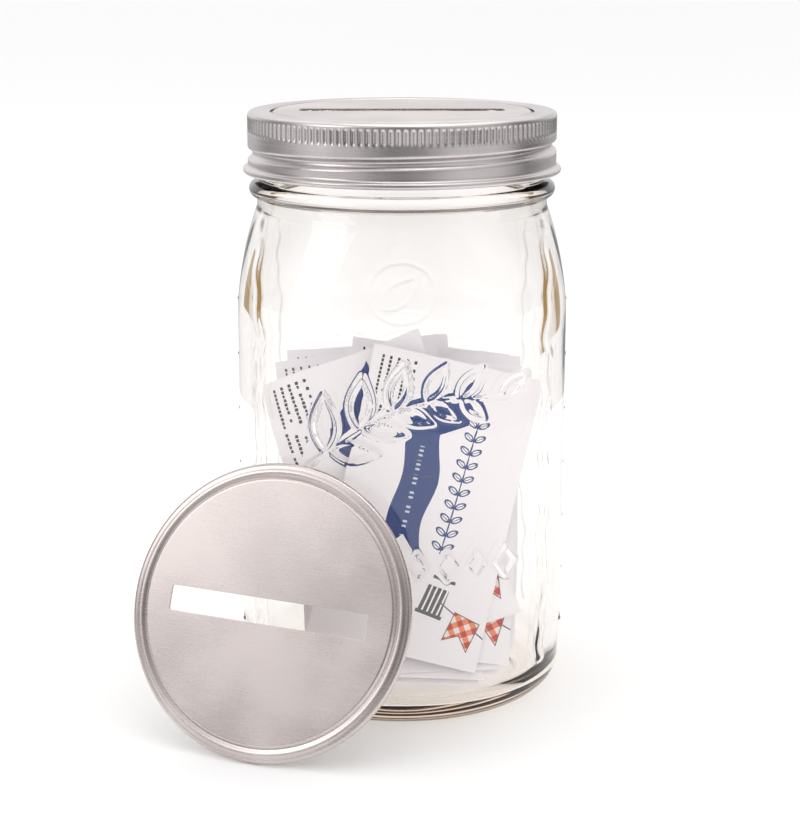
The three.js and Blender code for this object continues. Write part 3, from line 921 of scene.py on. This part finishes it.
def make_lid(sizes):
    """A pressed disc with a raised panel, a turned-down edge and a coin slot, at the origin."""
    radius = (LID_HIGH.x - LID_LOW.x) / 2
    sheet, lift, step = LID_SHEET, sizes.panel_raise, sizes.step
    slope = 0.28 * MM
    profile = [(0, lift), (sizes.panel - sheet - slope, lift)]
    profile += [(sizes.panel - sheet + 0.1 * MM, lift - 0.2 * MM)]
    profile += [(sizes.panel + step - sheet, 0.1 * MM), (sizes.panel + step - sheet + slope, 0)]
    edge_round = LID_EDGE_ROUND
    turn_at = radius - edge_round - sheet
    profile += arc(turn_at, -edge_round, edge_round, 90, 0, 4)
    profile += [(radius - 0.5 * MM, -sizes.edge_drop), (radius - 0.25 * MM, -sizes.edge_drop)]
    profile += [(radius, -sizes.edge_drop + 0.25 * MM)]
    profile += arc(turn_at, -edge_round, edge_round + sheet, 5, 90, 7)
    swell_low, swell_high = sizes.panel + step + 0.25 * MM, radius - 1.5 * MM
    for share in (0.92, 0.8, 0.68, 0.56, 0.44, 0.32, 0.2, 0.08):
        rise = sizes.flange_swell * math.sin(math.pi * share)
        profile.append((swell_low + (swell_high - swell_low) * share, sheet + rise))
    profile += [(sizes.panel + step + 0.1 * MM, sheet)]
    profile += [(sizes.panel + 0.12 * MM, lift + sheet - 0.2 * MM)]
    profile += [(sizes.panel - 0.2 * MM, lift + sheet - 0.04 * MM)]
    profile += [(sizes.panel - 0.6 * MM, lift + sheet), (0, lift + sheet)]
    lid = spun("lid_disc", profile, LID_COLUMNS)
    begin()
    bpy.ops.mesh.primitive_cube_add(size=1)
    cutter = bpy.context.object
    bpy.ops.transform.resize(value=(sizes.slot_length, sizes.slot_width, 10 * MM))
    bpy.ops.object.transform_apply(scale=True)
    rounding = cutter.modifiers.new("corners", "BEVEL")
    rounding.width, rounding.segments, rounding.affect = SLOT_CORNER, 3, "EDGES"
    apply_all(cutter)
    cut = lid.modifiers.new("slot", "BOOLEAN")
    cut.object, cut.operation, cut.solver = cutter, "DIFFERENCE", "EXACT"
    soft = lid.modifiers.new("edges", "BEVEL")
    soft.width, soft.segments, soft.limit_method, soft.angle_limit = 0.1 * MM, 2, "ANGLE", 1.2
    apply_all(lid)
    bpy.data.objects.remove(cutter)
    layer = lid.data.uv_layers.new(name="LidPlan")
    for loop in lid.data.loops:
        place = lid.data.vertices[loop.vertex_index].co
        layer.data[loop.index].uv = (place.x / LID_PLAN_SIZE, place.y / LID_PLAN_SIZE)
    return lid


class COINBANK_OT_lids(bpy.types.Operator):
    """Press the slotted lid, then copy it for the loose one that leans on the jar"""

    bl_idname = "coinbank.lids"
    bl_label = "Slotted lids"

    def execute(self, context):
        sizes = context.scene.coinbank_steel
        steel = steel_material("Lid steel", (12.0, 520.0, 1.0), tuple(sizes.lid_tint), "LidPlan")
        lid = make_lid(sizes)
        lid.data.materials.append(steel)
        loose = lid.copy()
        loose.data = lid.data.copy()
        context.scene.collection.objects.link(loose)
        lid.name, loose.name = "slotted_lid_steel", "loose_lid_steel"
        lid.data.transform(Matrix.Translation((0, 0, LID_LOW.z + sizes.edge_drop)))
        lean = Matrix.Rotation(LOOSE_TURN * DEGREE, 4, "Z")
        lean @= Matrix.Rotation(LOOSE_LEAN * DEGREE, 4, "X")
        loose.data.transform(lean @ Matrix.Rotation(LOOSE_ROLL * DEGREE, 4, "Z"))
        points = points_of(loose)
        middle = (Vector(points.min(0)) + Vector(points.max(0))) / 2
        loose.data.transform(Matrix.Translation((LOOSE_LOW + LOOSE_HIGH) / 2 - middle))
        finish_piece(lid, "lid", ["slotted_lid"], 40, flat_faces=True)
        finish_piece(loose, "loose_lid", ["loose_slotted_lid"], 40, flat_faces=True)
        return {"FINISHED"}


# ---- the cards ------------------------------------------------------------------------


def card_frame(node, sizes):
    """The matrix that puts a card's own plane where its node stands, facing the front."""
    corners = np.unique(np.round([v.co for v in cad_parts[node].data.vertices], 6), axis=0)
    first = corners[0]
    gaps = np.linalg.norm(corners - first, axis=1)
    across = corners[np.argmin(np.abs(gaps - sizes.width))] - first
    up = corners[np.argmin(np.abs(gaps - sizes.length))] - first
    across = Vector(across).normalized() * (1 if across[0] > 0 else -1)
    up = Vector(up).normalized() * (1 if up[2] > 0 else -1)
    matrix = Matrix((across, up, across.cross(up))).transposed().to_4x4()
    matrix.translation = Vector(corners.mean(0))
    return matrix


class COINBANK_OT_cards(bpy.types.Operator):
    """Cut one card, bow it slightly, and stand a copy at each card's place"""

    bl_idname = "coinbank.cards"
    bl_label = "Cards"

    def execute(self, context):
        sizes = context.scene.coinbank_cards
        begin()
        bpy.ops.mesh.primitive_grid_add(x_subdivisions=10, y_subdivisions=22, size=1)
        master = bpy.context.object
        bpy.ops.transform.resize(value=(sizes.width, sizes.length, 1))
        bpy.ops.object.transform_apply(scale=True)
        wall = master.modifiers.new("thickness", "SOLIDIFY")
        wall.thickness, wall.offset = sizes.thickness, 0
        apply_all(master)
        for side in ("front", "back"):
            master.data.materials.append(card_material(sizes, f"Card {side}", side))
        for face in master.data.polygons:
            face.material_index = 0 if face.normal.z > 0.5 else 1
        for number, node in enumerate(CARD_NODES):
            card = master.copy()
            card.data = master.data.copy()
            context.scene.collection.objects.link(card)
            card.name = node + "_print"
            points = points_of(card)
            share = points[:, 1] / sizes.length + 0.5
            curl = sizes.bow * (1 if node.startswith("standing") else 0.25)
            side = points[:, 0] / sizes.width
            points[:, 2] -= curl * share**2 * (0.7 + 0.3 * math.sin(number * 2.1) * side)
            set_points(card, points)
            card.data.transform(card_frame(node, sizes))
            finish_piece(card, "jar", [node], 40)
        bpy.data.objects.remove(master)
        return {"FINISHED"}


# ---- the stage ------------------------------------------------------------------------


def area_light(name, place, target, size, power):
    """A square soft light pointed at a place."""
    lamp = bpy.data.lights.new(name, "AREA")
    lamp.shape, lamp.size, lamp.energy = "SQUARE", size, power
    light = bpy.data.objects.new(name, lamp)
    bpy.context.scene.collection.objects.link(light)
    light.location = place
    light.rotation_euler = (Vector(target) - Vector(place)).to_track_quat("-Z", "Y").to_euler()


def studio_shade(tree, direction, rear_light):
    """The brightness that steel reflects, by direction: dim in front, bright beside it."""
    across, along, _ = add(tree, "ShaderNodeSeparateXYZ", Vector=direction).outputs
    turn = Value(tree, across).math("ARCTAN2", Value(tree, along) * -1.0).math("ABSOLUTE")
    boxes = ramp(tree, turn, 0.12, 0.75) & ramp(tree, turn, 1.9, 1.1)
    shade = boxes * 0.58 + 0.17 + ramp(tree, turn, 1.7, 2.6) * rear_light
    return shade + ramp(tree, across, 0.2, -0.6) * 0.10


def table_card():
    """A grey card around the set that only the steel sees, which gives it dark and light."""
    begin()
    bpy.ops.mesh.primitive_circle_add(
        vertices=64, radius=6.0, fill_type="NGON", location=(0, 0, MM)
    )
    card = bpy.context.object
    card.name = "reflected_card"
    bpy.ops.object.mode_set(mode="EDIT")
    bpy.ops.mesh.select_all(action="SELECT")
    bpy.ops.mesh.inset(thickness=5.6)
    bpy.ops.mesh.delete(type="FACE")
    bpy.ops.object.mode_set(mode="OBJECT")
    material, tree, _, output = new_material("Reflected card")
    place = add(tree, "ShaderNodeTexCoord")
    shade = studio_shade(tree, place.outputs["Object"], 0.35)
    glow = add(tree, "ShaderNodeEmission", Strength=shade)
    tree.links.new(glow.outputs[0], output.inputs["Surface"])
    card.data.materials.append(material)
    card.visible_camera = card.visible_diffuse = card.visible_transmission = False
    card.visible_shadow = card.visible_volume_scatter = False


def studio_world():
    """White light, with other brightnesses for what steel reflects and what glass bends."""
    world = bpy.data.worlds.new("Studio")
    world.use_nodes = True
    tree = world.node_tree
    back = tree.nodes["Background"]
    way = add(tree, "ShaderNodeTexCoord").outputs["Generated"]
    shade = studio_shade(tree, way, 1.0)
    _, along, up = add(tree, "ShaderNodeSeparateXYZ", Vector=way).outputs
    lifted = ramp(tree, up, 0.30, 0.75, 0.0, 0.34)
    sky = ramp(tree, up, 0.90, 0.99, 0.0, 1.1)
    steel = shade * 0.72 + lifted + sky
    front = ramp(tree, along, 0.15, -0.55)
    through = mixed(tree, front, WHITE, FRONT_THROUGH_GLASS)
    path = tree.nodes.new("ShaderNodeLightPath")
    seen = mixed(tree, path.outputs["Is Transmission Ray"], WHITE, through)
    seen = mixed(tree, path.outputs["Is Glossy Ray"], seen, steel)
    put(tree, back.inputs[0], seen)
    back.inputs[1].default_value = WORLD_STRENGTH
    return world


def edge_cards():
    """Brown cards beside and behind the set that only the glass sees, for its outlines."""
    material, tree, _, output = new_material("Edge card")
    glow = add(tree, "ShaderNodeEmission", Color=EDGE_BROWN, Strength=1.0)
    tree.links.new(glow.outputs[0], output.inputs["Surface"])
    for side in (-1, 1):
        for size, (across, along, up) in EDGE_CARDS:
            begin()
            bpy.ops.mesh.primitive_cube_add(size=1, location=(across * side, along, up))
            card = bpy.context.object
            card.name = "edge_card"
            bpy.ops.transform.resize(value=size)
            card.data.materials.append(material)
            card.visible_camera = card.visible_diffuse = card.visible_glossy = False
            card.visible_shadow = card.visible_volume_scatter = False


class COINBANK_OT_stage(bpy.types.Operator):
    """Set the pale floor, the soft studio light and the camera"""

    bl_idname = "coinbank.stage"
    bl_label = "Stage"

    def execute(self, context):
        scene = context.scene
        begin()
        bpy.ops.mesh.primitive_plane_add(size=FLOOR_SIZE)
        floor = bpy.context.object
        floor.name = "floor"
        material, tree, shader, _ = new_material("Pale floor")
        put(tree, shader.inputs["Base Color"], (0.9, 0.9, 0.9))
        shader.inputs["Roughness"].default_value = 0.9
        floor.data.materials.append(material)
        table_card()
        scene.world = studio_world()
        edge_cards()
        area_light("Top light", (0.25, 0.15, 1.5), (0, 0, 0.1), 1.4, 4)
        area_light("Left light", (-1.2, -0.7, 0.9), (0, 0, 0.1), 0.8, 3)
        lens = bpy.data.cameras.new("Camera")
        lens.lens, lens.sensor_width = CAMERA_LENS, CAMERA_FILM
        camera = bpy.data.objects.new("Camera", lens)
        scene.collection.objects.link(camera)
        camera.location = CAMERA_PLACE
        camera.rotation_euler = ((90 - CAMERA_DOWN) * DEGREE, 0, 0)
        scene.camera = camera
        scene.view_settings.view_transform = "Standard"
        return {"FINISHED"}


class COINBANK_PT_panel(bpy.types.Panel):
    """Lists the pieces and their sizes"""

    bl_label = "Coin bank jar"
    bl_idname = "COINBANK_PT_panel"
    bl_space_type = "VIEW_3D"
    bl_region_type = "UI"
    bl_category = "Coin bank"

    def draw(self, context):
        for operator in OPERATORS:
            self.layout.operator(operator.bl_idname)
        for group in (context.scene.coinbank_jar, context.scene.coinbank_steel,
                      context.scene.coinbank_cards):
            box = self.layout.box()
            for name in group.__annotations__:
                box.prop(group, name)


OPERATORS = (COINBANK_OT_jar, COINBANK_OT_band, COINBANK_OT_lids, COINBANK_OT_cards,
             COINBANK_OT_stage)
CLASSES = (JarSizes, SteelSizes, CardSizes, *OPERATORS, COINBANK_PT_panel)


def register():
    for kind in CLASSES:
        bpy.utils.register_class(kind)
    bpy.types.Scene.coinbank_jar = PointerProperty(type=JarSizes)
    bpy.types.Scene.coinbank_steel = PointerProperty(type=SteelSizes)
    bpy.types.Scene.coinbank_cards = PointerProperty(type=CardSizes)


def unregister():
    for name in ("coinbank_jar", "coinbank_steel", "coinbank_cards"):
        delattr(bpy.types.Scene, name)
    for kind in reversed(CLASSES):
        bpy.utils.unregister_class(kind)


def main():
    """Builds every piece."""
    register()
    bpy.ops.coinbank.stage()
    bpy.ops.coinbank.jar()
    bpy.ops.coinbank.band()
    bpy.ops.coinbank.lids()
    bpy.ops.coinbank.cards()


if __name__ == "__main__":
    main()
